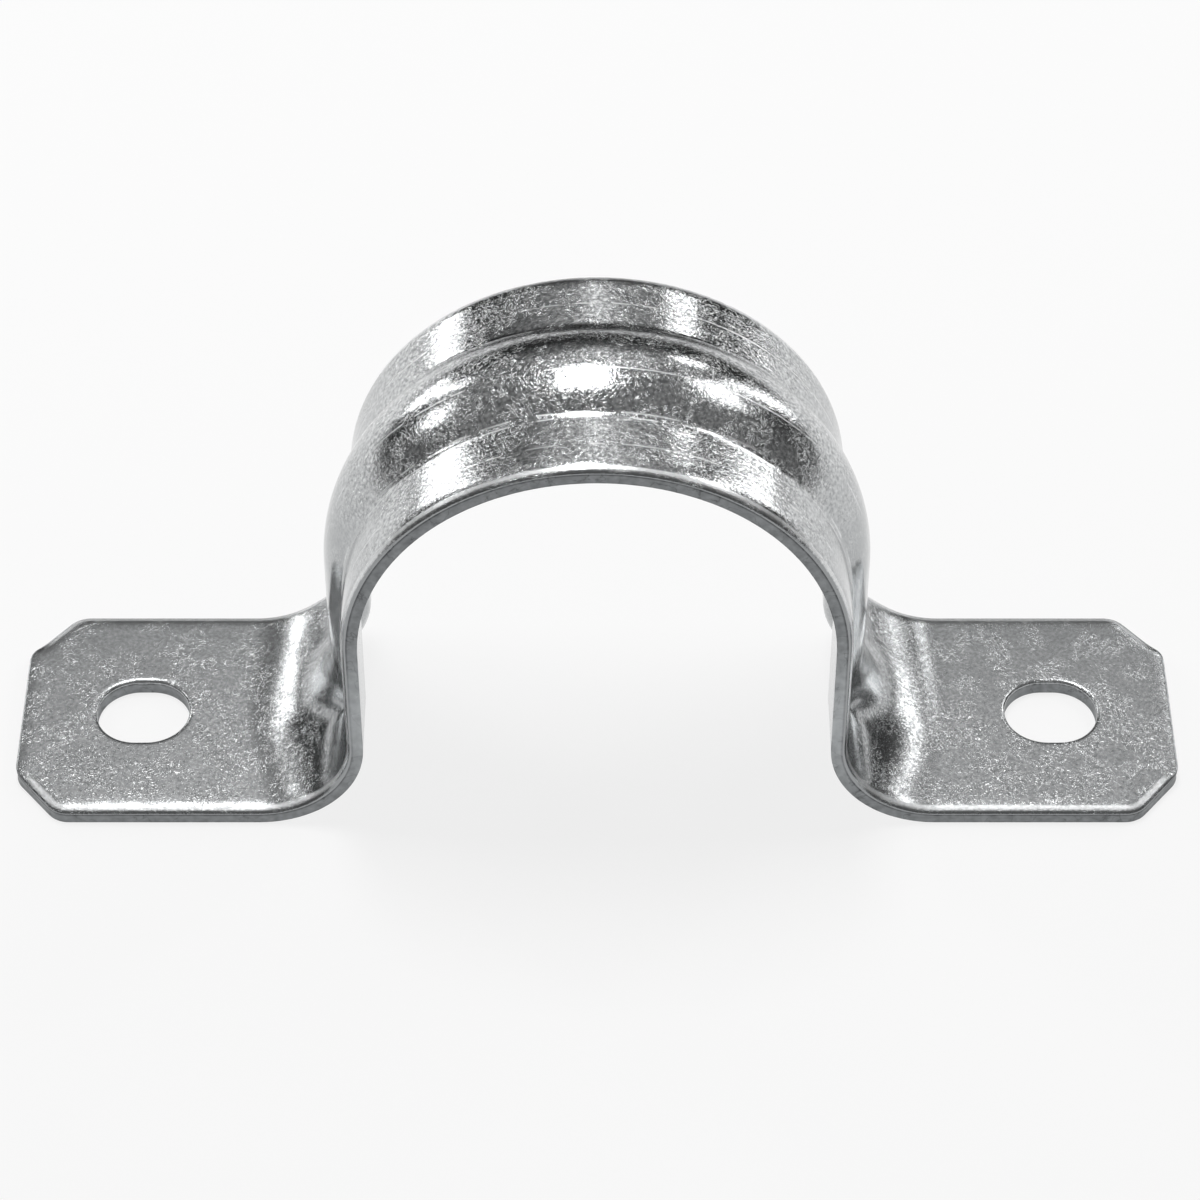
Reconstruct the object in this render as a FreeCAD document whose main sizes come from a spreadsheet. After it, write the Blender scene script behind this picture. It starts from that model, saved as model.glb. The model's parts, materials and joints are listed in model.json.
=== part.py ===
import FreeCAD, Part
import math
import os
import Sketcher
from collections import namedtuple

# Two-hole pipe strap, pressed in one piece from a strip of galvanised steel.
# It stands on its feet on the plane z = 0. X runs from foot to foot and Y along the pipe.
# The origin is the middle of the footprint. Sizes are in millimetres.

DRIVING_SIZES = [
    ("arch_radius", 16.85, "inner radius of the arch, for a pipe of 33.7 mm"),
    ("arch_height", 34.5, "height of the pipe space, 0.8 mm more than the pipe"),
    ("sheet_thickness", 1.25, "thickness of the strip"),
    ("strip_width", 20.0, "width of the strip, along the pipe"),
    ("overall_length", 86.0, "length over both feet"),
    ("bend_radius", 6.75, "upper radius of the bend between foot and leg"),
    ("hole_pitch", 68.0, "distance between the middles of the screw holes"),
    ("hole_width", 6.1, "width of a screw hole, across the strip"),
    ("hole_length", 6.9, "length of a screw hole, along the strip"),
    ("rib_rise", 1.55, "height of the stiffening rib over the strip"),
    ("rib_width", 9.6, "width of the rib where it rises from the strip"),
    ("rib_foot_radius", 1.0, "concave radius where the rib rises"),
    ("corner_length", 3.3, "corner cut, along the strip"),
    ("corner_width", 4.0, "corner cut, across the strip"),
    ("corner_radius", 2.0, "rounding of both ends of a corner cut"),
    ("rolled_edge", 0.45, "rounding that shearing leaves on the upper edges"),
    ("hole_edge", 0.3, "bevel that punching leaves on the upper edge of a screw hole"),
]
CUT_REACH = 2.0  # how far a cutting outline reaches past the faces that it cuts
RIB_ROOT = 0.5  # how far a rib outline reaches back past the face that it rises from
NEAR = 0.01  # tolerance when edges are picked by their place
START, END, CENTRE = range(1, 4)  # the points of a sketch curve, by number
ORIGIN = (-1, 1)
H_AXIS = -1
V_AXIS = -2
PAD = "PartDesign::Pad"
POCKET = "PartDesign::Pocket"
REVOLUTION = "PartDesign::Revolution"
GROOVE = "PartDesign::Groove"
FILLET = "PartDesign::Fillet"
CHAMFER = "PartDesign::Chamfer"

# an expression over the sheet, and its value for the first drawing
Size = namedtuple("Size", "formula start")

doc = FreeCAD.newDocument("pipe_strap")
sheet = doc.addObject("Spreadsheet::Sheet", "sizes")
driving = {}
for row, (alias, number, note) in enumerate(DRIVING_SIZES, start=1):
    sheet.set(f"A{row}", note)
    sheet.set(f"B{row}", str(number))
    sheet.setAlias(f"B{row}", alias)
    driving[alias] = Size(f"sizes.{alias}", number)
doc.recompute()


def total(*terms):
    """Sum of sizes."""
    formula = " + ".join(term.formula for term in terms)
    return Size(f"({formula})", sum(term.start for term in terms))


def difference(first, second):
    return Size(f"({first.formula} - {second.formula})", first.start - second.start)


def share(size, divisor):
    return Size(f"({size.formula} / {divisor})", size.start / divisor)


def doubled(size):
    return Size(f"(2 * {size.formula})", 2 * size.start)


def fixed(number):
    return Size(str(number), number)


thickness = driving["sheet_thickness"]
inner_radius = driving["arch_radius"]
outer_radius = total(inner_radius, thickness)
upper_bend = driving["bend_radius"]
under_bend = total(upper_bend, thickness)
axis_height = difference(driving["arch_height"], inner_radius)
foot_end = share(driving["overall_length"], 2)
foot_side = share(driving["strip_width"], 2)
through_sheet = doubled(total(thickness, fixed(CUT_REACH)))


def new_sketch(body, name, role, height=None, along=None, turn=0):
    """Sketch on an origin plane, moved off it by height or within it by along, and turned by degrees."""
    sketch = body.newObject("Sketcher::SketchObject", name)
    plane = [item for item in body.Origin.OriginFeatures if item.Role == role][0]
    sketch.AttachmentSupport = [(plane, "")]
    sketch.MapMode = "FlatFace"
    turned = FreeCAD.Rotation(FreeCAD.Vector(0, 0, 1), turn)
    sketch.AttachmentOffset = FreeCAD.Placement(FreeCAD.Vector(0, 0, 0), turned)
    if height:
        sketch.setExpression("AttachmentOffset.Base.z", height.formula)
    if along:
        sketch.setExpression("AttachmentOffset.Base.y", along.formula)
    return sketch


def line(sketch, start, end):
    segment = Part.LineSegment(FreeCAD.Vector(*start, 0), FreeCAD.Vector(*end, 0))
    return sketch.addGeometry(segment, False)


def arc(sketch, centre, radius, start, end):
    """Arc that runs anticlockwise between two angles in degrees."""
    circle = Part.Circle(FreeCAD.Vector(*centre, 0), FreeCAD.Vector(0, 0, 1), radius)
    return sketch.addGeometry(Part.ArcOfCircle(circle, math.radians(start), math.radians(end)), False)


def rule(sketch, kind, *where):
    sketch.addConstraint(Sketcher.Constraint(kind, *where))


def dimension(sketch, name, size, kind, *where):
    """Named constraint that follows an expression."""
    index = sketch.addConstraint(Sketcher.Constraint(kind, *where, size.start))
    sketch.renameConstraint(index, name)
    sketch.setExpression(f"Constraints.{name}", size.formula)


def omega_outline(sketch, radius, bend, reach, foot_level=None, depth=None):
    """Closed side outline of feet, bends, legs and arch.

    reach is how far each foot goes from the middle. The feet lie at foot_level, or on the ground where
    that is left out, and the outline closes at depth under the ground, or on it.
    """
    low = -depth.start if depth else 0
    level = foot_level.start if foot_level else 0
    bend_x = radius.start + bend.start
    bend_height = level + bend.start
    arch = arc(sketch, (0, axis_height.start), radius.start, 0, 180)
    floor = line(sketch, (-reach.start, low), (reach.start, low))
    bends = []
    feet = []
    for side in (-1, 1):
        leg = line(sketch, (side * radius.start, axis_height.start), (side * radius.start, bend_height))
        turn = (270, 360) if side < 0 else (180, 270)
        curve = arc(sketch, (side * bend_x, bend_height), bend.start, *turn)
        foot = line(sketch, (side * bend_x, level), (side * reach.start, level))
        edge = line(sketch, (side * reach.start, level), (side * reach.start, low))
        leg_end, foot_start = (END, START) if side < 0 else (START, END)
        rule(sketch, "Tangent", arch, END if side < 0 else START, leg, START)
        rule(sketch, "Tangent", leg, END, curve, leg_end)
        rule(sketch, "Tangent", curve, foot_start, foot, START)
        rule(sketch, "Coincident", foot, END, edge, START)
        rule(sketch, "Coincident", edge, END, floor, START if side < 0 else END)
        rule(sketch, "Vertical", leg)
        rule(sketch, "Horizontal", foot)
        rule(sketch, "Vertical", edge)
        bends.append(curve)
        feet.append(foot)
    rule(sketch, "Horizontal", floor)
    rule(sketch, "PointOnObject", arch, CENTRE, V_AXIS)
    rule(sketch, "Equal", *bends)
    rule(sketch, "Symmetric", feet[0], END, feet[1], END, V_AXIS)
    dimension(sketch, "radius", radius, "Radius", arch)
    dimension(sketch, "bend", bend, "Radius", bends[0])
    dimension(sketch, "axis_height", axis_height, "DistanceY", *ORIGIN, arch, CENTRE)
    dimension(sketch, "reach", reach, "DistanceX", *ORIGIN, feet[1], END)
    if foot_level:
        dimension(sketch, "foot_level", foot_level, "DistanceY", *ORIGIN, feet[1], END)
    else:
        rule(sketch, "PointOnObject", feet[1], END, H_AXIS)
    if depth:
        dimension(sketch, "depth", depth, "DistanceY", floor, END, *ORIGIN)
    else:
        rule(sketch, "PointOnObject", floor, END, H_AXIS)


def rib_outline(sketch, level, foot_radius):
    """Section of the rib, with level the distance of its foot from the pipe's axis.

    Two concave arcs of foot_radius meet one crest arc. For rise r and half width b the arcs touch
    when the sum of their radii is (b^2 + r^2) / (2 r).
    """
    rise = driving["rib_rise"]
    half = share(driving["rib_width"], 2)
    radii = Size(
        f"(({half.formula})^2 + {rise.formula}^2) / (2 * {rise.formula})",
        (half.start**2 + rise.start**2) / (2 * rise.start),
    )
    crest_radius = difference(radii, foot_radius)
    slope = math.degrees(2 * math.atan(rise.start / half.start))
    base = level.start
    root = base - RIB_ROOT
    left = arc(sketch, (-half.start, base + foot_radius.start), foot_radius.start, 270, 270 + slope)
    right = arc(sketch, (half.start, base + foot_radius.start), foot_radius.start, 270 - slope, 270)
    crest_y = base + rise.start - crest_radius.start
    crest = arc(sketch, (0, crest_y), crest_radius.start, 90 - slope, 90 + slope)
    left_drop = line(sketch, (-half.start, base), (-half.start, root))
    right_drop = line(sketch, (half.start, base), (half.start, root))
    chord = line(sketch, (-half.start, root), (half.start, root))
    rule(sketch, "Tangent", left, END, crest, END)
    rule(sketch, "Tangent", right, START, crest, START)
    rule(sketch, "Coincident", left, START, left_drop, START)
    rule(sketch, "Coincident", right, END, right_drop, START)
    rule(sketch, "Coincident", left_drop, END, chord, START)
    rule(sketch, "Coincident", right_drop, END, chord, END)
    rule(sketch, "Vertical", left_drop)
    rule(sketch, "Vertical", right_drop)
    rule(sketch, "Horizontal", chord)
    rule(sketch, "Vertical", left, CENTRE, left, START)
    rule(sketch, "Vertical", right, CENTRE, right, END)
    rule(sketch, "Equal", left, right)
    rule(sketch, "Symmetric", left, START, right, END, V_AXIS)
    dimension(sketch, "foot_radius", foot_radius, "Radius", left)
    dimension(sketch, "crest_radius", crest_radius, "Radius", crest)
    dimension(sketch, "half_width", half, "DistanceX", *ORIGIN, right, END)
    dimension(sketch, "level", level, "DistanceY", *ORIGIN, right, END)
    dimension(sketch, "root", fixed(RIB_ROOT), "DistanceY", right_drop, END, right_drop, START)


def corner_outline(sketch, side_x, side_y):
    """Triangle that one corner cut takes off."""
    corner = (side_x * foot_end.start, side_y * foot_side.start)
    along = (corner[0] - side_x * driving["corner_length"].start, corner[1])
    across = (corner[0], corner[1] - side_y * driving["corner_width"].start)
    first = line(sketch, corner, along)
    second = line(sketch, corner, across)
    slant = line(sketch, along, across)
    rule(sketch, "Coincident", first, START, second, START)
    rule(sketch, "Coincident", first, END, slant, START)
    rule(sketch, "Coincident", second, END, slant, END)
    rule(sketch, "Horizontal", first)
    rule(sketch, "Vertical", second)
    name = f"corner_{'right' if side_x > 0 else 'left'}_{'back' if side_y > 0 else 'front'}"
    from_end = (first, END, first, START) if side_x > 0 else (first, START, first, END)
    from_side = (second, END, second, START) if side_y > 0 else (second, START, second, END)
    to_end = (*ORIGIN, first, START) if side_x > 0 else (first, START, *ORIGIN)
    to_side = (*ORIGIN, first, START) if side_y > 0 else (first, START, *ORIGIN)
    dimension(sketch, f"{name}_length", driving["corner_length"], "DistanceX", *from_end)
    dimension(sketch, f"{name}_width", driving["corner_width"], "DistanceY", *from_side)
    dimension(sketch, f"{name}_end", foot_end, "DistanceX", *to_end)
    dimension(sketch, f"{name}_side", foot_side, "DistanceY", *to_side)


def slot_outline(sketch, side):
    """Screw hole of one foot: two half circles and two short straights."""
    radius = share(driving["hole_width"], 2)
    run = difference(driving["hole_length"], driving["hole_width"])
    middle = share(driving["hole_pitch"], 2)
    near = difference(middle, share(run, 2))
    near_x = side * near.start
    far_x = side * (near.start + run.start)
    near_turn, far_turn = ((90, 270), (-90, 90)) if side > 0 else ((-90, 90), (90, 270))
    near_arc = arc(sketch, (near_x, 0), radius.start, *near_turn)
    far_arc = arc(sketch, (far_x, 0), radius.start, *far_turn)
    # the near arc meets the back straight at its start on the right foot and at its end on the left foot
    near_back, near_front = (START, END) if side > 0 else (END, START)
    back = line(sketch, (near_x, radius.start), (far_x, radius.start))
    front = line(sketch, (near_x, -radius.start), (far_x, -radius.start))
    rule(sketch, "Tangent", near_arc, near_back, back, START)
    rule(sketch, "Tangent", far_arc, near_front, back, END)
    rule(sketch, "Tangent", near_arc, near_front, front, START)
    rule(sketch, "Tangent", far_arc, near_back, front, END)
    rule(sketch, "Equal", near_arc, far_arc)
    rule(sketch, "PointOnObject", near_arc, CENTRE, H_AXIS)
    rule(sketch, "Horizontal", back)
    name = "right" if side > 0 else "left"
    to_near = (*ORIGIN, near_arc, CENTRE) if side > 0 else (near_arc, CENTRE, *ORIGIN)
    to_far = (near_arc, CENTRE, far_arc, CENTRE) if side > 0 else (far_arc, CENTRE, near_arc, CENTRE)
    dimension(sketch, f"{name}_radius", radius, "Radius", near_arc)
    dimension(sketch, f"{name}_near", near, "DistanceX", *to_near)
    dimension(sketch, f"{name}_run", run, "DistanceX", *to_far)


def add_extrusion(body, kind, name, sketch, length, both_ways=False, reverse=False):
    """Pad or Pocket of a sketch."""
    feature = body.newObject(kind, name)
    feature.Profile = sketch
    feature.Midplane = both_ways
    feature.Reversed = reverse
    feature.setExpression("Length", length.formula)
    return feature


def add_half_turn(body, kind, name, sketch):
    """Revolution or Groove of a section through half a turn over the pipe's axis."""
    feature = body.newObject(kind, name)
    feature.Profile = sketch
    feature.ReferenceAxis = (sketch, ["H_Axis"])
    feature.Midplane = True
    feature.Angle = 180
    return feature


def edge_names(shape, chosen):
    return [f"Edge{number}" for number, edge in enumerate(shape.Edges, start=1) if chosen(edge)]


def soften_edges(body, kind, name, base, size, chosen):
    """Fillet or Chamfer on those edges of the last feature that the test picks."""
    doc.recompute()
    feature = body.newObject(kind, name)
    feature.Base = (base, edge_names(base.Shape, chosen))
    feature.setExpression("Radius" if kind == FILLET else "Size", size.formula)
    return feature


def is_cut_corner(edge):
    """Upright edge at an end of a corner cut."""
    box = edge.BoundBox
    upright = box.XLength < NEAR and box.YLength < NEAR
    cut_start = foot_end.start - driving["corner_length"].start
    return upright and abs(edge.CenterOfMass.x) > cut_start - NEAR


def is_upper_rim(edge):
    """Edge of the upper face that runs round the strip, not across it."""
    middle = edge.CenterOfMass
    across = abs(middle.y) < foot_side.start / 2 and abs(middle.x) < foot_end.start - NEAR
    return edge.BoundBox.ZMin > thickness.start / 2 and not across


def is_hole_rim(edge):
    """Upper edge of a screw hole."""
    box = edge.BoundBox
    middle = edge.CenterOfMass
    upper = box.ZLength < NEAR and box.ZMin > thickness.start / 2
    from_hole = abs(abs(middle.x) - driving["hole_pitch"].start / 2)
    beside = from_hole < driving["hole_length"].start / 2 + NEAR
    return upper and beside and abs(middle.y) < driving["hole_width"].start / 2 + NEAR


def make_strap():
    """The strip with its arch, bends and feet, then the pressed rib, then the screw holes."""
    body = doc.addObject("PartDesign::Body", "strap")
    body.Label = "strap"
    strip_width = driving["strip_width"]

    side_view = new_sketch(body, "side_view", "XZ_Plane")
    omega_outline(side_view, outer_radius, upper_bend, foot_end, foot_level=thickness)
    add_extrusion(body, PAD, "outer_form", side_view, strip_width, both_ways=True)

    corners = new_sketch(body, "corners", "XY_Plane")
    for side_x in (-1, 1):
        for side_y in (-1, 1):
            corner_outline(corners, side_x, side_y)
    corner_cuts = add_extrusion(body, POCKET, "corner_cuts", corners, through_sheet, both_ways=True)
    corner_radius = driving["corner_radius"]
    rounded = soften_edges(body, FILLET, "corner_rounding", corner_cuts, corner_radius, is_cut_corner)
    soften_edges(body, FILLET, "rolled_rim", rounded, driving["rolled_edge"], is_upper_rim)

    rib_section = new_sketch(body, "rib_section", "YZ_Plane", along=axis_height)
    rib_outline(rib_section, outer_radius, driving["rib_foot_radius"])
    add_half_turn(body, REVOLUTION, "arch_rib", rib_section)
    rib_drop = difference(axis_height, share(thickness, 2))
    for name, turn in (("left", 90), ("right", -90)):
        section = new_sketch(body, f"{name}_rib_section", "XY_Plane", height=axis_height, turn=turn)
        rib_outline(section, outer_radius, driving["rib_foot_radius"])
        add_extrusion(body, PAD, f"{name}_rib", section, rib_drop, reverse=True)

    under_view = new_sketch(body, "under_view", "XZ_Plane")
    past_foot = total(foot_end, fixed(CUT_REACH))
    omega_outline(under_view, inner_radius, under_bend, past_foot, depth=fixed(CUT_REACH))
    past_strip = total(strip_width, fixed(CUT_REACH))
    add_extrusion(body, POCKET, "pipe_space", under_view, past_strip, both_ways=True)

    hollow_radius = total(driving["rib_foot_radius"], thickness)
    hollow_section = new_sketch(body, "hollow_section", "YZ_Plane", along=axis_height)
    rib_outline(hollow_section, inner_radius, hollow_radius)
    add_half_turn(body, GROOVE, "arch_rib_hollow", hollow_section)
    hollow_drop = total(axis_height, fixed(CUT_REACH))
    for name, turn in (("left", 90), ("right", -90)):
        section = new_sketch(body, f"{name}_hollow_section", "XY_Plane", height=axis_height, turn=turn)
        rib_outline(section, inner_radius, hollow_radius)
        add_extrusion(body, POCKET, f"{name}_rib_hollow", section, hollow_drop)

    hole_plan = new_sketch(body, "hole_plan", "XY_Plane")
    for side in (-1, 1):
        slot_outline(hole_plan, side)
    screw_holes = add_extrusion(body, POCKET, "screw_holes", hole_plan, through_sheet, both_ways=True)
    hole_edge = driving["hole_edge"]
    body.Tip = soften_edges(body, CHAMFER, "hole_rims", screw_holes, hole_edge, is_hole_rim)
    return body


def check_document():
    """Stops where a feature has failed, or its shape is empty or not valid."""
    for item in doc.Objects:
        if "Invalid" in item.State or "Error" in item.State:
            raise RuntimeError(f"{item.Name} is {item.State}")
        shape = getattr(item, "Shape", None)
        if shape is None or item.isDerivedFrom("App::OriginFeature"):
            continue
        if shape.isNull() or not shape.isValid():
            raise RuntimeError(f"{item.Name} has no valid shape")


strap = make_strap()
doc.recompute()
check_document()
os.makedirs("parts", exist_ok=True)
strap.Shape.exportStep(f"parts/{strap.Label}.step")
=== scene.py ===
import json
import math

import bmesh
import bpy
import numpy as np
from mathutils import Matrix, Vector


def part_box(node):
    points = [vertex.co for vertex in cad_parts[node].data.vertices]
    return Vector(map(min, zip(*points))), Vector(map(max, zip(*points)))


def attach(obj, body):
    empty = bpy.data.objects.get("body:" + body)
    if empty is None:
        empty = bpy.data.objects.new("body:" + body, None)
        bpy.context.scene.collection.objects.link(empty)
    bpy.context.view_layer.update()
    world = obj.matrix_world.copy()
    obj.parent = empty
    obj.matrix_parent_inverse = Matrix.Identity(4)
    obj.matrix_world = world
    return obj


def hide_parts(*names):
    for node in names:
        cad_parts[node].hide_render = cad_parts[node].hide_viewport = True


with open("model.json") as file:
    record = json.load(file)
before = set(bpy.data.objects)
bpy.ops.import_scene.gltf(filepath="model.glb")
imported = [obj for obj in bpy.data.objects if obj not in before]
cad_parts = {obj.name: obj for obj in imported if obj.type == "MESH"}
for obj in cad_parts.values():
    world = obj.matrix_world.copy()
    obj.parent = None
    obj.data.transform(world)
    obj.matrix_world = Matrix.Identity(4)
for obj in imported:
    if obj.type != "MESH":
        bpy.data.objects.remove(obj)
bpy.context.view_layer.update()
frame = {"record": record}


# Strap
# The real piece is one strip of galvanised steel, 1.25 mm thick. It is blanked and punched, drawn over a
# form that also presses the rib, and bent to two feet. Shearing rolls its upper rim down.

MM = 0.001
mounts = {mount["name"]: mount for mount in frame["record"]["mounts"]}
PIPE_RADIUS = mounts["pipe_seat"]["dims"]["r_mm"] * MM
AXIS_HEIGHT = mounts["pipe_seat"]["pos_m"][2]
HOLE_X = mounts["screw_holes"]["dims"]["spacing_x_mm"] * MM / 2
HOLE_RADIUS = mounts["screw_holes"]["dims"]["hole_r_mm"] * MM
HOLE_RUN = mounts["screw_holes"]["dims"]["slot_length_mm"] * MM / 2 - HOLE_RADIUS  # half its straight stretch
HALF_LENGTH, HALF_WIDTH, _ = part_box("strap")[1]
THICKNESS = 1.25 * MM
OUTER_RADIUS = PIPE_RADIUS + THICKNESS
BEND_RADIUS = 6.75 * MM
BEND_MIDDLE = OUTER_RADIUS + BEND_RADIUS  # how far the axis of a bend is from the middle
JOIN = BEND_MIDDLE + 4 * MM  # where the flat foot takes over from the bent strip
LEG_LOW = THICKNESS + BEND_RADIUS  # height of the leg's lower end
RIB_RISE = 1.55 * MM
RIB_HALF = 4.8 * MM
RIB_FOOT = 1.0 * MM  # radius of the hollow beside the rib
RUN_OUT_RISE = 1.75 * MM  # height of the rib where it dies out in the bend
RUN_OUT_FULL = 1.6  # where it has taken that form, counted down the strip as side_path does
FLARE = 1.25 * MM  # how much further out the back edge of a bend is than the front one
CORNER_LENGTH = 3.3 * MM
CORNER_WIDTH = 4.0 * MM
CORNER_RADIUS = 2.0 * MM
ROLL_WIDTH = 1.1 * MM  # the rolled rim, across the face
ROLL_DEPTH = 0.42 * MM  # and down the sheared edge
END_ROLL_LOSS = 0.7  # share of that depth which the ends of the feet lack
END_FADE = 1.2 * MM
HOLE_ROLL_WIDTH = 0.35 * MM
HOLE_ROLL_DEPTH = 0.24 * MM
NEAR_RIM = np.array([0, 0.02, 0.06, 0.13, 0.22, 0.35, 0.5, 0.75, 1.1]) * MM  # grid points at a rim
NEAR_RIM_MOST = 0.35  # share of a short ray that they take up
RIM_STEP = 0.5 * MM
WALL_SHARES = np.array([0, 0.16, 0.32, 0.48, 0.72, 1])  # of the way from the rolled rim down the sheared edge
WALL_BACK = np.array([0, 0, 0.01, 0.035, 0.045, 0]) * MM  # how far the edge has broken back there
WELD_DISTANCE = 0.001 * MM
SHARP_ANGLE = math.radians(40)


def smooth(value, start, end):
    """Smoothstep: 0 at start, 1 at end, 3 t^2 - 2 t^3 between."""
    t = np.clip((value - start) / (end - start), 0, 1)
    return t * t * (3 - 2 * t)


def unit(vectors):
    """Each vector divided by its own length."""
    return vectors / np.linalg.norm(vectors, axis=-1, keepdims=True)


def rib_section(y):
    """Height of the rib across the strip: a crest arc between two concave foot arcs that touch it.

    For rise r and half width b the arcs touch when the sum of their radii is (b^2 + r^2) / (2 r).
    """
    crest = (RIB_HALF**2 + RIB_RISE**2) / (2 * RIB_RISE) - RIB_FOOT
    touch = crest * math.sin(2 * math.atan(RIB_RISE / RIB_HALF))
    across = np.abs(y)
    top = RIB_RISE - crest + np.sqrt(np.maximum(crest**2 - across**2, 0))
    reach = np.maximum(RIB_HALF - across, 0)
    foot = RIB_FOOT - np.sqrt(np.maximum(RIB_FOOT**2 - reach**2, 0))
    return np.where(across < touch, top, np.where(across < RIB_HALF, foot, 0))


def run_out_section(y):
    """Height of the rib where it dies out: a smoothstep up from the front edge, and one down to the flare."""
    front = RUN_OUT_RISE * smooth(y, -HALF_WIDTH, -1 * MM)
    return front + (FLARE - RUN_OUT_RISE) * smooth(y, 0, HALF_WIDTH)


def side_path():
    """Upper face seen from the front, from the left join over the arch to the right one.

    Rows of the result: x, z, the normal's x and z, and how far down a point is, which is 0 on the arch, 0 to
    1 down the leg, 1 to 2 round the bend and 3 at the join. Half a path is a straight, the bend's quarter
    circle, the leg and a quarter circle of the arch; the other half is its mirror image.
    """
    quarter = math.pi / 2
    flat = np.linspace(JOIN, BEND_MIDDLE, 14, endpoint=False)
    turn = np.linspace(0, quarter, 40, endpoint=False)
    leg = np.linspace(LEG_LOW, AXIS_HEIGHT, 24, endpoint=False)
    sweep = np.linspace(0, quarter, 90)
    none = np.zeros_like(flat)
    bend_x = BEND_MIDDLE - BEND_RADIUS * np.sin(turn)
    bend_z = LEG_LOW - BEND_RADIUS * np.cos(turn)
    arch_x = OUTER_RADIUS * np.cos(sweep)
    arch_z = AXIS_HEIGHT + OUTER_RADIUS * np.sin(sweep)
    x = [flat, bend_x, np.full_like(leg, OUTER_RADIUS), arch_x]
    z = [none + THICKNESS, bend_z, leg, arch_z]
    normal_x = [none, np.sin(turn), np.ones_like(leg), np.cos(sweep)]
    normal_z = [none + 1, np.cos(turn), np.zeros_like(leg), np.sin(sweep)]
    down_flat = 2 + (flat - BEND_MIDDLE) / (JOIN - BEND_MIDDLE)
    down_leg = (AXIS_HEIGHT - leg) / (AXIS_HEIGHT - LEG_LOW)
    down = [down_flat, 2 - turn / quarter, down_leg, 0 * sweep]
    right = np.array([np.concatenate(part) for part in (x, z, normal_x, normal_z, down)])
    left = right * np.array([-1, 1, -1, 1, 1])[:, None]
    return np.concatenate([left, right[:, -2::-1]], axis=1)


def strip_columns():
    """Places across the strip, close together at the rims and over the rib."""
    rim = HALF_WIDTH - NEAR_RIM
    rib_edge = RIB_HALF + 0.5 * MM
    band = np.linspace(rim[-1], rib_edge, 11)[1:]
    rib = np.linspace(rib_edge, 0, 25)[1:]
    half = np.concatenate([rim, band, rib])
    return np.concatenate([half, -half[-2::-1]])


def rolled(distance, width=ROLL_WIDTH, depth=ROLL_DEPTH):
    """How far the upper face is drawn down at a distance from its rim: a quarter ellipse."""
    inward = np.clip(1 - distance / width, 0, 1)
    return depth * (1 - np.sqrt(1 - inward**2))


def strip_faces():
    """Upper and lower face of arch, legs and bends, each a grid along the strip and across it.

    On the arch the rib rises along the normal. Down the legs and round the bends it is pushed straight
    outwards instead. In the bend it turns into the soft run-out, which is gone at the join. The lower face
    is one thickness inside, and the upper face is then rolled down at its rims.
    """
    x, z, normal_x, normal_z, down = side_path()[:, :, None]
    y = strip_columns()[None, :]
    spread = smooth(down, 1.0, RUN_OUT_FULL)
    rise = (1 - spread) * rib_section(y) + spread * run_out_section(y)
    rise = rise * (1 - smooth(down, 2, 3))
    outward = np.where(down > 0, np.sign(x), normal_x)
    upward = np.where(down > 0, 0, normal_z)
    face = np.stack([x + outward * rise, y + 0 * x, z + upward * rise], axis=2)
    normal = unit(np.cross(np.gradient(face, axis=1), np.gradient(face, axis=0)))
    outer_side = normal[..., 0] * normal_x + normal[..., 2] * normal_z
    normal *= np.sign(outer_side)[..., None]
    lower = face - THICKNESS * normal
    lower[:, [0, -1], 1] = [HALF_WIDTH, -HALF_WIDTH]
    upper = face - rolled(HALF_WIDTH - np.abs(y))[..., None] * normal
    return upper, lower


def rounded_corner(before, corner, after):
    """Nine points of the arc that rounds the corner between two straight edges.

    The arc's middle lies on the corner's bisector. From it the radius swings from the first touching point
    to the last, as the sum of both radii weighted by the sines of the angles still to go and gone.
    """
    back = unit(before - corner)
    forth = unit(after - corner)
    half = math.acos(back @ forth) / 2
    centre = corner + (back + forth) / np.linalg.norm(back + forth) * CORNER_RADIUS / math.sin(half)
    first = corner + back * CORNER_RADIUS / math.tan(half) - centre
    last = corner + forth * CORNER_RADIUS / math.tan(half) - centre
    swing = math.pi - 2 * half
    t = np.linspace(0, 1, 9)[:, None]
    return centre + (np.sin((1 - t) * swing) * first + np.sin(t * swing) * last) / math.sin(swing)


def foot_rim():
    """Rim of the right foot, from the front of the join round the end to the back of the join.

    It is four rounded corners with straight runs between them, each run divided into even steps.
    """
    cut_x = HALF_LENGTH - CORNER_LENGTH
    cut_y = HALF_WIDTH - CORNER_WIDTH
    front = [(JOIN, -HALF_WIDTH), (cut_x, -HALF_WIDTH), (HALF_LENGTH, -cut_y)]
    corners = np.array(front + [(x, -y) for x, y in reversed(front)])
    arcs = [rounded_corner(*corners[i - 1 : i + 2]) for i in range(1, 5)]
    stops = [corners[:1], *arcs, corners[-1:]]
    rim = [corners[:1]]
    for before, after in zip(stops, stops[1:]):
        steps = math.ceil(np.linalg.norm(after[0] - before[-1]) / RIM_STEP)
        rim.append(np.linspace(before[-1], after[0], steps + 1)[1:])
        rim.append(after[1:])
    return np.concatenate(rim)


def hole_rim(direction):
    """Where rays from the middle of a screw hole meet its rim, which is two half circles and two straights.

    A ray meets a straight where its rise is the radius, if that is within the straight's run, and otherwise
    the circle round the run's end.
    """
    ux, uy = np.abs(direction).T
    straight = HOLE_RADIUS / np.maximum(uy, 1e-9)
    along = ux * HOLE_RUN
    curved = along + np.sqrt(np.maximum(along**2 - HOLE_RUN**2 + HOLE_RADIUS**2, 0))
    reach = np.where(straight * ux <= HOLE_RUN, straight, curved)
    return direction * reach[:, None]


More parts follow.
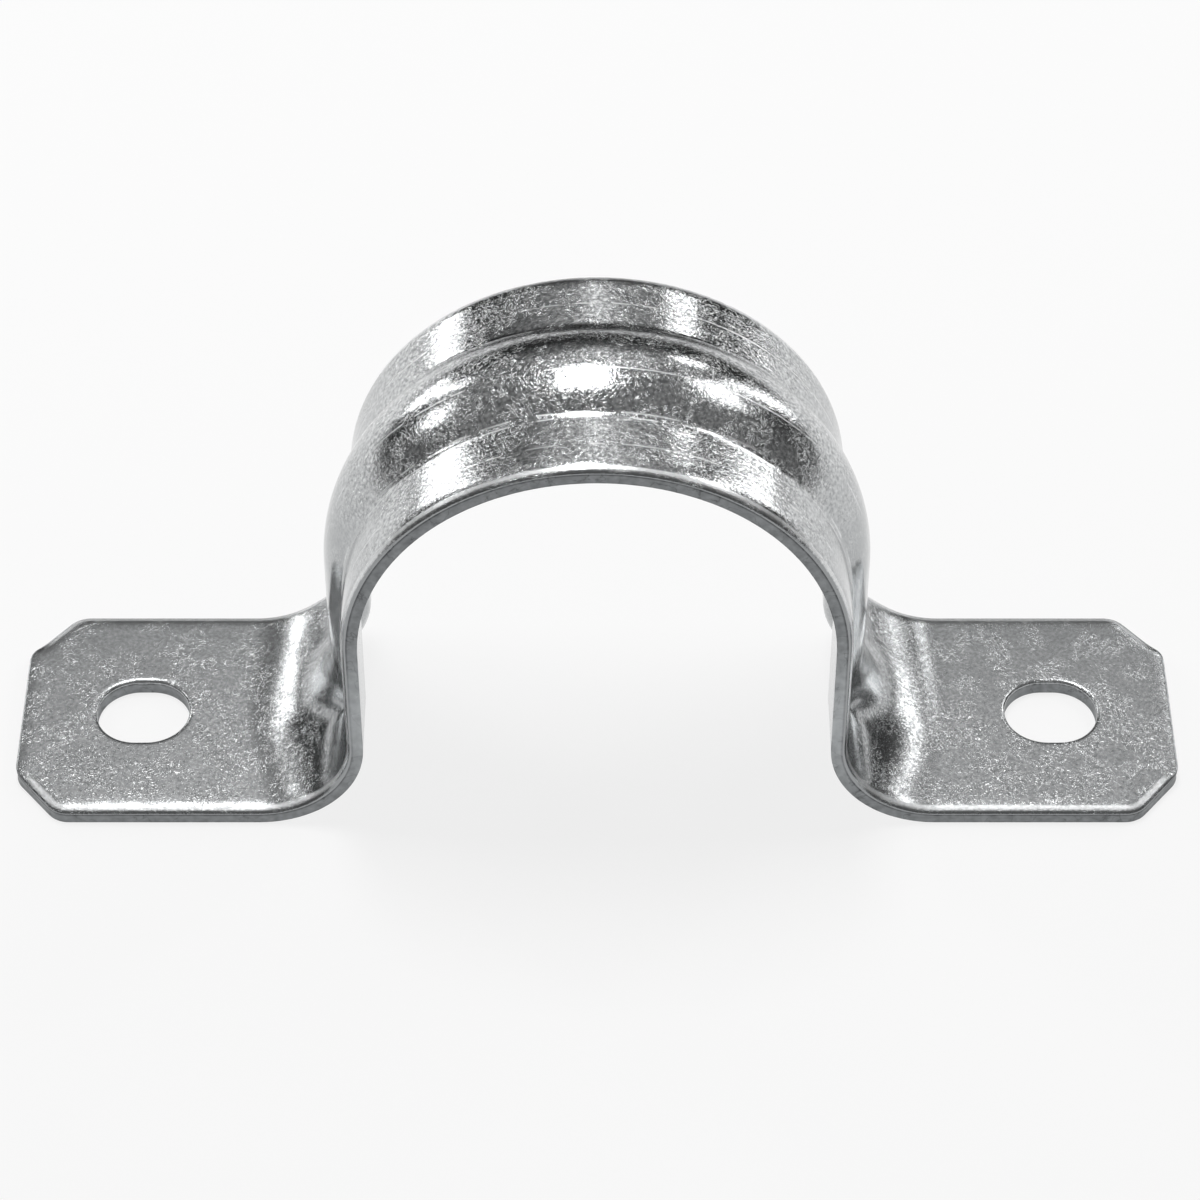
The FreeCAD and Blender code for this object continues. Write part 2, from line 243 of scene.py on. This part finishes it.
def distance_to(points, line):
    """Shortest distance from each point to a line of straight pieces, from its nearest place on each."""
    run = line[1:] - line[:-1]
    offset = points[:, None] - line[:-1]
    t = np.clip((offset * run).sum(2) / (run**2).sum(1), 0, 1)
    return np.linalg.norm(offset - t[..., None] * run, axis=2).min(axis=1)


def foot_faces(side):
    """Upper and lower face of one foot, each a grid of rays from the screw hole's rim to the foot's own rim.

    A point of the plan is a share of the way along its ray. The upper face is one thickness up, rolled down
    at both rims, and less so at the foot's end. The lower face is flat.
    """
    rim = foot_rim()
    join_y = strip_columns()[1:-1]
    outer = np.concatenate([rim, np.column_stack([np.full_like(join_y, JOIN), join_y])])
    middle = np.array([HOLE_X, 0])
    rays = outer - middle
    inner = middle + hole_rim(unit(rays))
    length = np.linalg.norm(outer - inner, axis=1)[:, None]
    close = np.minimum(NEAR_RIM / length, NEAR_RIM_MOST)
    between = close[:, -1:] + (1 - 2 * close[:, -1:]) * np.linspace(0, 1, 9)[1:-1]
    share = np.concatenate([close, between, 1 - close[:, ::-1]], axis=1)[..., None]
    plan = inner[:, None] * (1 - share) + outer[:, None] * share
    from_rim = distance_to(plan.reshape(-1, 2), rim).reshape(plan.shape[:2])
    past_run = np.maximum(np.abs(plan[..., 0] - HOLE_X) - HOLE_RUN, 0)
    from_hole = np.maximum(np.hypot(past_run, plan[..., 1]) - HOLE_RADIUS, 0)
    end = smooth(outer[:, :1], HALF_LENGTH - END_FADE, HALF_LENGTH)
    rim_roll = rolled(from_rim) * (1 - END_ROLL_LOSS * end)
    hole_roll = rolled(from_hole, HOLE_ROLL_WIDTH, HOLE_ROLL_DEPTH)
    upper = np.stack([side * plan[..., 0], plan[..., 1], THICKNESS - rim_roll - hole_roll], axis=2)
    return upper, upper * [1, 1, 0], from_rim, len(rim)


def sheared_edge(upper_rim, lower_rim, inward):
    """Sheared edge as a grid of straight steps from the rolled rim to the lower rim, set back between."""
    edge = upper_rim[:, None] + (lower_rim - upper_rim)[:, None] * WALL_SHARES[:, None]
    return edge + inward[:, None] * WALL_BACK[:, None]


def grid_quads(shape, first, closed):
    """Corners of the quads between neighbouring points of a grid, numbered from first on."""
    rows, columns = shape[:2]
    number = first + np.arange(rows * columns).reshape(rows, columns)
    if closed:
        number = np.concatenate([number, number[:1]])
    corners = [number[:-1, :-1], number[1:, :-1], number[1:, 1:], number[:-1, 1:]]
    return np.stack(corners, axis=2).reshape(-1, 4)


def strap_grids():
    """Strip, two feet and every sheared edge: each a grid, its finish, whether it closes, and from_rim.

    from_rim is the distance from a face's rim in metres, or the share of the way down a sheared edge in
    millimetres.
    """
    skin, sheared = 0, 1
    down_edge = WALL_SHARES * MM
    upper, lower = strip_faces()
    from_rim = HALF_WIDTH - np.abs(strip_columns())
    grids = [(upper, skin, False, from_rim), (lower, skin, False, from_rim)]
    for column, inward in ((0, -1), (-1, 1)):
        across = np.tile([0.0, inward, 0.0], (len(upper), 1))
        grids.append((sheared_edge(upper[:, column], lower[:, column], across), sheared, False, down_edge))
    for side in (-1, 1):
        upper, lower, from_rim, rim = foot_faces(side)
        grids += [(upper, skin, True, from_rim), (lower, skin, True, from_rim)]
        along = np.gradient(lower[:rim, -1], axis=0)
        inward = side * unit(np.cross([0, 0, 1], along))
        grids.append((sheared_edge(upper[:rim, -1], lower[:rim, -1], inward), sheared, False, down_edge))
        outward = unit(lower[:, 0] - [side * HOLE_X, 0, 0])
        grids.append((sheared_edge(upper[:, 0], lower[:, 0], outward), sheared, True, down_edge))
    return grids


def build_strap():
    """All grids in one mesh, welded where they meet, with from_rim kept as an attribute of the points."""
    points, quads, finishes, distances = [], [], [], []
    first = 0
    for grid, finish, closed, from_rim in strap_grids():
        quads.append(grid_quads(grid.shape, first, closed))
        points.append(grid.reshape(-1, 3))
        finishes.append(np.full(len(quads[-1]), finish))
        distances.append(np.broadcast_to(from_rim, grid.shape[:2]).reshape(-1))
        first += len(points[-1])
    mesh = bpy.data.meshes.new("strap_pressed")
    mesh.from_pydata(np.concatenate(points), [], np.concatenate(quads))
    mesh.polygons.foreach_set("material_index", np.concatenate(finishes))
    mesh.attributes.new("from_rim", "FLOAT", "POINT").data.foreach_set("value", np.concatenate(distances))
    weld = bmesh.new()
    weld.from_mesh(mesh)
    bmesh.ops.remove_doubles(weld, verts=weld.verts, dist=WELD_DISTANCE)
    bmesh.ops.recalc_face_normals(weld, faces=weld.faces)
    weld.to_mesh(mesh)
    weld.free()
    mesh.shade_smooth()
    mesh.set_sharp_from_angle(angle=SHARP_ANGLE)
    strap = bpy.data.objects.new("strap_pressed", mesh)
    bpy.context.collection.objects.link(strap)
    return strap


def new_material(name):
    """Material with nodes, and those nodes and their links."""
    material = bpy.data.materials.new(name)
    material.use_nodes = True
    return material, material.node_tree.nodes, material.node_tree.links


def noise(nodes, links, place, scale, detail, distortion=0.0):
    """Noise over Object coordinates, with scale in waves a metre."""
    texture = nodes.new("ShaderNodeTexNoise")
    texture.inputs["Scale"].default_value = scale
    texture.inputs["Detail"].default_value = detail
    texture.inputs["Distortion"].default_value = distortion
    links.new(place, texture.inputs["Vector"])
    return texture.outputs["Fac"]


def ramp(nodes, links, source, low, high, start, end, soft=False):
    """Maps a factor from low..high to start..end, straight or as a smoothstep."""
    node = nodes.new("ShaderNodeMapRange")
    node.interpolation_type = "SMOOTHSTEP" if soft else "LINEAR"
    node.inputs["From Min"].default_value = low
    node.inputs["From Max"].default_value = high
    node.inputs["To Min"].default_value = start
    node.inputs["To Max"].default_value = end
    links.new(source, node.inputs["Value"])
    return node.outputs["Result"]


def combine(nodes, links, operation, first, second):
    """Math node of two factors, where the second may be a plain number."""
    node = nodes.new("ShaderNodeMath")
    node.operation = operation
    links.new(first, node.inputs[0])
    if isinstance(second, float):
        node.inputs[1].default_value = second
    else:
        links.new(second, node.inputs[1])
    return node.outputs["Value"]


def plus_share(nodes, links, total, factor, share):
    """A factor with a share of another one added: total + share * factor."""
    return combine(nodes, links, "ADD", total, combine(nodes, links, "MULTIPLY", factor, share))


def near(nodes, links, source, value, width):
    """1 where a factor has the value, falling to 0 at width from it: a line along one of its contours."""
    offset = combine(nodes, links, "SUBTRACT", source, value)
    distance = combine(nodes, links, "ABSOLUTE", offset, 0.0)
    return ramp(nodes, links, distance, 0.0, width, 1.0, 0.0, soft=True)


def grey_between(nodes, links, factor, dark, light):
    """Mix of two greys: dark at a factor of 0, light at 1."""
    node = nodes.new("ShaderNodeMix")
    node.data_type = "RGBA"
    node.inputs["A"].default_value = (*dark, 1)
    node.inputs["B"].default_value = (*light, 1)
    links.new(factor, node.inputs["Factor"])
    return node.outputs["Result"]


def attribute(nodes, name):
    """The mesh's own attribute as a factor."""
    node = nodes.new("ShaderNodeAttribute")
    node.attribute_name = name
    return node.outputs["Fac"]


def relief(nodes, links, shader, height):
    """Bump of a height in millimetres."""
    bump = nodes.new("ShaderNodeBump")
    bump.inputs["Distance"].default_value = MM
    links.new(height, bump.inputs["Height"])
    links.new(bump.outputs["Normal"], shader.inputs["Normal"])


# Where the coat changes: heights first, then places across the strip and distances from an end or a rim.
LIVELY_TO, QUIET_FROM = 2.5 * MM, 6.5 * MM
DULL_TO, BRIGHT_FROM = 1.3 * MM, 5 * MM
LINES_START, LINES_FULL = 12 * MM, 25 * MM
STRETCH_AND_LIGHT_START, STRETCH_AND_LIGHT_FULL = 22 * MM, 30 * MM
LIVELY_FRONT, CALMER_BACK = -2 * MM, 9 * MM
WORN_LINES = (-7.4, -4.75, -4.35, -1.3, 6.9)  # in millimetres
LINE_REACH = 0.12 * MM
UNWORN_END, WORN_FROM = 0.8 * MM, 1.8 * MM
WORN_RIM, WORN_REACH = 0.4 * MM, 0.3 * MM
# Painted rim shade: full up to the first distance from a rim, gone from the second.
RIM_SHADE_FULL, CLEAR_FROM = 0.06 * MM, 0.2 * MM

# How it looks: greys, roughness, how lively wrinkles and grain are, and how high they stand in millimetres.
ZINC_GREYS = (0.31, 0.32, 0.325), (0.78, 0.79, 0.795)
FOOT_ROUGH, LEG_ROUGH = 0.25, 0.11
QUIET, LIVELY_FOOT, LIVELY_ARCH = 0.12, 0.85, 1.1
WRINKLE_HEIGHT, GRAIN_HEIGHT, WAVE_HEIGHT = 0.012, 0.013, 0.04
CURLS, PATCHES, GRAIN, WAVES, GAPS, BLOOM = 1900, 480, 4600, 260, 450, 3800  # waves a metre of each pattern


def zinc_skin():
    """Zinc coat: grey, with hair-fine curled wrinkles, grain and faint waves.

    The wrinkles are contours of a noise, gathered in patches by a second one. Wrinkles and grain are lively
    on the feet, less so towards their back edge, and on the stretched top of the arch, and nearly gone on
    the smooth legs. The grey is painted lighter on the top of the arch, a painted highlight of the light
    from above. It is painted darker where the skin is quiet, a painted shade of the dark room that legs,
    arch sides and bends mirror. A few broken lines along the strip and the rolled rims are worn lighter
    and duller, but not at the ends of the feet. A painted shade, a dark line, follows every rim.
    """
    material, nodes, links = new_material("galvanised_zinc")
    shader = nodes["Principled BSDF"]
    shader.inputs["Metallic"].default_value = 1.0
    place = nodes.new("ShaderNodeTexCoord").outputs["Object"]
    axes = nodes.new("ShaderNodeSeparateXYZ")
    links.new(place, axes.inputs["Vector"])
    x, y, z = (axes.outputs[axis] for axis in "XYZ")
    from_rim = attribute(nodes, "from_rim")

    # Top of the arch: its wrinkles and grain are livelier there, and below it also paints the grey lighter as
    # a painted highlight.
    stretch_and_lit_top = ramp(nodes, links, z, STRETCH_AND_LIGHT_START, STRETCH_AND_LIGHT_FULL, 0.0, 1.0)
    lively_foot = ramp(nodes, links, z, LIVELY_TO, QUIET_FROM, LIVELY_FOOT, QUIET)
    calmer = ramp(nodes, links, y, LIVELY_FRONT, CALMER_BACK, 1.0, 0.5)
    lively_foot = combine(nodes, links, "MULTIPLY", lively_foot, calmer)
    lively_arch = ramp(nodes, links, stretch_and_lit_top, 0.0, 1.0, QUIET, LIVELY_ARCH)
    lively = combine(nodes, links, "MAXIMUM", lively_foot, lively_arch)

    curls = near(nodes, links, noise(nodes, links, place, CURLS, 2, 2.0), 0.5, 0.05)
    patches = ramp(nodes, links, noise(nodes, links, place, PATCHES, 4), 0.44, 0.60, 0.15, 1.0)
    wrinkles = combine(nodes, links, "MULTIPLY", curls, patches)
    grain = noise(nodes, links, place, GRAIN, 3, 0.5)
    fine = combine(nodes, links, "MULTIPLY", wrinkles, WRINKLE_HEIGHT)
    fine = plus_share(nodes, links, fine, grain, GRAIN_HEIGHT)
    fine = combine(nodes, links, "MULTIPLY", fine, lively)
    waves = noise(nodes, links, place, WAVES, 2)
    relief(nodes, links, shader, plus_share(nodes, links, fine, waves, WAVE_HEIGHT))

    along = combine(nodes, links, "ABSOLUTE", x, 0.0)
    short_of_end = ramp(nodes, links, along, HALF_LENGTH - WORN_FROM, HALF_LENGTH - UNWORN_END, 1.0, 0.0)
    worn = near(nodes, links, from_rim, WORN_RIM, WORN_REACH)
    worn = combine(nodes, links, "MULTIPLY", worn, short_of_end)
    gaps = ramp(nodes, links, noise(nodes, links, place, GAPS, 3), 0.42, 0.52, 0.0, 0.8)
    high_up = ramp(nodes, links, z, LINES_START, LINES_FULL, 0.0, 1.0)
    gaps = combine(nodes, links, "MULTIPLY", gaps, high_up)
    for across in WORN_LINES:
        line = near(nodes, links, y, across * MM, LINE_REACH)
        worn = combine(nodes, links, "ADD", worn, combine(nodes, links, "MULTIPLY", line, gaps))

    spots = ramp(nodes, links, noise(nodes, links, place, BLOOM, 3), 0.3, 0.7, -0.4, 0.4)
    spots = combine(nodes, links, "MULTIPLY", spots, lively)
    # Painted shade: where the skin is quiet (legs, arch sides, bends, back of the feet) the grey is painted
    # darker, standing for the dark room they mirror.
    tone = combine(nodes, links, "ADD", spots, ramp(nodes, links, lively, QUIET, 0.8, 0.2, 0.33))
    # The first share paints the top of the arch lighter: a painted highlight of the light from above.
    for factor, share in ((stretch_and_lit_top, 0.12), (wrinkles, 0.3), (worn, 0.7)):
        tone = plus_share(nodes, links, tone, factor, share)
    # Painted shade: the grey is painted darker along every rim, standing for the dark room mirrored in the
    # roll.
    painted_rim_shade = ramp(nodes, links, from_rim, RIM_SHADE_FULL, CLEAR_FROM, 0.8, 0.0)
    tone = combine(nodes, links, "SUBTRACT", tone, painted_rim_shade)
    links.new(grey_between(nodes, links, tone, *ZINC_GREYS), shader.inputs["Base Color"])

    rough = ramp(nodes, links, z, DULL_TO, BRIGHT_FROM, FOOT_ROUGH, LEG_ROUGH)
    rough = plus_share(nodes, links, rough, spots, -0.12)
    rough = plus_share(nodes, links, rough, worn, 0.28)
    links.new(rough, shader.inputs["Roughness"])
    return material


STEEL_GREYS = (0.05, 0.053, 0.056), (0.49, 0.51, 0.52)
STEEL_ROUGH = 0.42
MOTTLE_HEIGHT = 0.02  # in millimetres
LEG_MIDDLE, LEG_REACH = 11 * MM, 10 * MM  # height where the sheared edge is lightest, and how far that goes
TEARS, MOTTLE = 420, 1500  # waves a metre


def sheared_steel():
    """Sheared edge: torn metal, grey and dull, mottled by a noise.

    Tears along a contour of a second noise are darker, and the legs lighter. Just under the rolled rim the
    edge is painted darker, a painted shade of the dark room mirrored there.
    """
    material, nodes, links = new_material("sheared_steel")
    shader = nodes["Principled BSDF"]
    shader.inputs["Metallic"].default_value = 1.0
    shader.inputs["Roughness"].default_value = STEEL_ROUGH
    place = nodes.new("ShaderNodeTexCoord").outputs["Object"]
    axes = nodes.new("ShaderNodeSeparateXYZ")
    links.new(place, axes.inputs["Vector"])
    mottle = noise(nodes, links, place, MOTTLE, 4)
    tears = near(nodes, links, noise(nodes, links, place, TEARS, 4, 0.5), 0.55, 0.012)
    # Painted shade: the edge is painted darker just under the rolled rim.
    lip_shade = ramp(nodes, links, attribute(nodes, "from_rim"), RIM_SHADE_FULL, CLEAR_FROM, 0.25, 0.0)
    legs = near(nodes, links, axes.outputs["Z"], LEG_MIDDLE, LEG_REACH)
    tone = ramp(nodes, links, mottle, 0.3, 0.7, 0.28, 0.5)
    tone = plus_share(nodes, links, tone, tears, -0.18)
    tone = plus_share(nodes, links, tone, legs, 0.4)
    tone = combine(nodes, links, "SUBTRACT", tone, lip_shade)
    links.new(grey_between(nodes, links, tone, *STEEL_GREYS), shader.inputs["Base Color"])
    relief(nodes, links, shader, combine(nodes, links, "MULTIPLY", mottle, MOTTLE_HEIGHT))
    return material


strap = build_strap()
strap.data.materials.append(zinc_skin())
strap.data.materials.append(sheared_steel())
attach(strap, "root")
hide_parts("strap")


# Floor
# A white table that runs far out on every side. The strap stands on it. Camera and metal see it partly
# lit from within, so it stays near white and still keeps a faint shadow.

def build_floor():
    """Square of white table, 3 m to each side and a hair under the strap.

    Camera, mirrored and refracted rays see a mix of its own white and an even glow.
    """
    reach = 3.0
    gap = 0.02 * MM
    white = (0.93, 0.93, 0.93, 1)
    glow_share = 0.8
    corners = np.array([(-1, -1, 0), (1, -1, 0), (1, 1, 0), (-1, 1, 0)]) * [reach, reach, 0]
    mesh = bpy.data.meshes.new("floor")
    mesh.from_pydata(corners, [], [(0, 1, 2, 3)])
    floor = bpy.data.objects.new("floor", mesh)
    floor.location.z = -gap
    bpy.context.collection.objects.link(floor)
    material, nodes, links = new_material("white_table")
    shader = nodes["Principled BSDF"]
    shader.inputs["Base Color"].default_value = white
    shader.inputs["Roughness"].default_value = 1.0
    shader.inputs["Specular IOR Level"].default_value = 0.0
    path = nodes.new("ShaderNodeLightPath").outputs
    seen = combine(nodes, links, "ADD", path["Is Camera Ray"], path["Is Glossy Ray"])
    seen = combine(nodes, links, "ADD", seen, path["Is Transmission Ray"])
    glow = nodes.new("ShaderNodeEmission")
    mix = nodes.new("ShaderNodeMixShader")
    links.new(combine(nodes, links, "MULTIPLY", seen, glow_share), mix.inputs["Fac"])
    links.new(shader.outputs["BSDF"], mix.inputs[1])
    links.new(glow.outputs["Emission"], mix.inputs[2])
    links.new(mix.outputs["Shader"], nodes["Material Output"].inputs["Surface"])
    mesh.materials.append(material)


build_floor()


# Light
# Softboxes over and behind the strap, in a grey room that is dark low down behind it. The metal mirrors that
# room: the panels are the bright patches on rib, arch and bends, and the dark part lies between them.

def softbox(name, place, target, width, height, brightness):
    """Area light whose face has this brightness, where 1 is white."""
    data = bpy.data.lights.new(name, "AREA")
    data.shape = "RECTANGLE"
    data.size = width
    data.size_y = height
    data.energy = brightness * math.pi * width * height
    light = bpy.data.objects.new(name, data)
    light.location = place
    light.visible_camera = False
    light.rotation_euler = (Vector(target) - Vector(place)).to_track_quat("-Z", "Y").to_euler()
    bpy.context.collection.objects.link(light)


ARCH = (0, 0, 0.02)  # places inside the strap that the panels face
FEET = (0, 0, 0.01)

softbox("overhead", (-0.036, 0.10, 0.42), (-0.036, 0.10, 0), 0.09, 0.19, 15)
softbox("back_panel", (0, 0.28, 0.385), ARCH, 0.30, 0.16, 0.35)
softbox("back_strip", (0, 0.30, 0.30), ARCH, 0.05, 0.08, 1.0)
softbox("left_panel", (-0.22, 0.26, 0.085), ARCH, 0.055, 0.035, 7)
softbox("left_end", (-0.288, 0.083, 0.185), ARCH, 0.08, 0.06, 5)
softbox("left_low", (-0.250, 0.231, 0.128), FEET, 0.048, 0.16, 4)
softbox("right_panel", (0.15, 0.272, 0.200), ARCH, 0.045, 0.036, 7)
softbox("right_end", (0.265, 0.141, 0.287), ARCH, 0.13, 0.10, 4)
softbox("right_low", (0.255, 0.225, 0.125), FEET, 0.05, 0.16, 4.5)

world = bpy.data.worlds.new("room")
bpy.context.scene.world = world
world.use_nodes = True
room_nodes = world.node_tree.nodes
room_links = world.node_tree.links
direction = room_nodes.new("ShaderNodeSeparateXYZ")
room_links.new(room_nodes.new("ShaderNodeTexCoord").outputs["Generated"], direction.inputs["Vector"])
DARK, CEILING, FRONT_WALL = 0.03, 0.25, 0.17  # brightness low down behind, overhead and in front; 1 is white
ceiling = ramp(room_nodes, room_links, direction.outputs["Z"], 0.25, 0.65, DARK, CEILING, soft=True)
front = ramp(room_nodes, room_links, direction.outputs["Y"], 0.55, 0.05, DARK, FRONT_WALL, soft=True)
room = combine(room_nodes, room_links, "MAXIMUM", ceiling, front)
room_links.new(room, room_nodes["Background"].inputs["Strength"])
room_nodes["Background"].inputs["Color"].default_value = (1, 1, 1, 1)


# Camera
# It stands in front of the strap and above it, and looks down as the photographer did.

FRAME_PIXELS = 1200
FOCAL_PIXELS = 4022
MIDDLE_COLUMN = 597
MIDDLE_ROW = 650
DOWN = math.radians(46.25)
STAND_OFF = 205.1 * MM
EYE_HEIGHT = 222.1 * MM
SENSOR_WIDTH = 36

camera_data = bpy.data.cameras.new("camera")
camera_data.sensor_width = SENSOR_WIDTH
camera_data.lens = FOCAL_PIXELS / FRAME_PIXELS * SENSOR_WIDTH
camera_data.shift_x = (FRAME_PIXELS / 2 - MIDDLE_COLUMN) / FRAME_PIXELS
camera_data.shift_y = (MIDDLE_ROW - FRAME_PIXELS / 2) / FRAME_PIXELS
camera_data.clip_start = 10 * MM
camera = bpy.data.objects.new("camera", camera_data)
camera.location = (0, -STAND_OFF, EYE_HEIGHT)
camera.rotation_euler = (math.pi / 2 - DOWN, 0, 0)
bpy.context.collection.objects.link(camera)
bpy.context.scene.camera = camera
bpy.context.scene.view_settings.view_transform = "Standard"
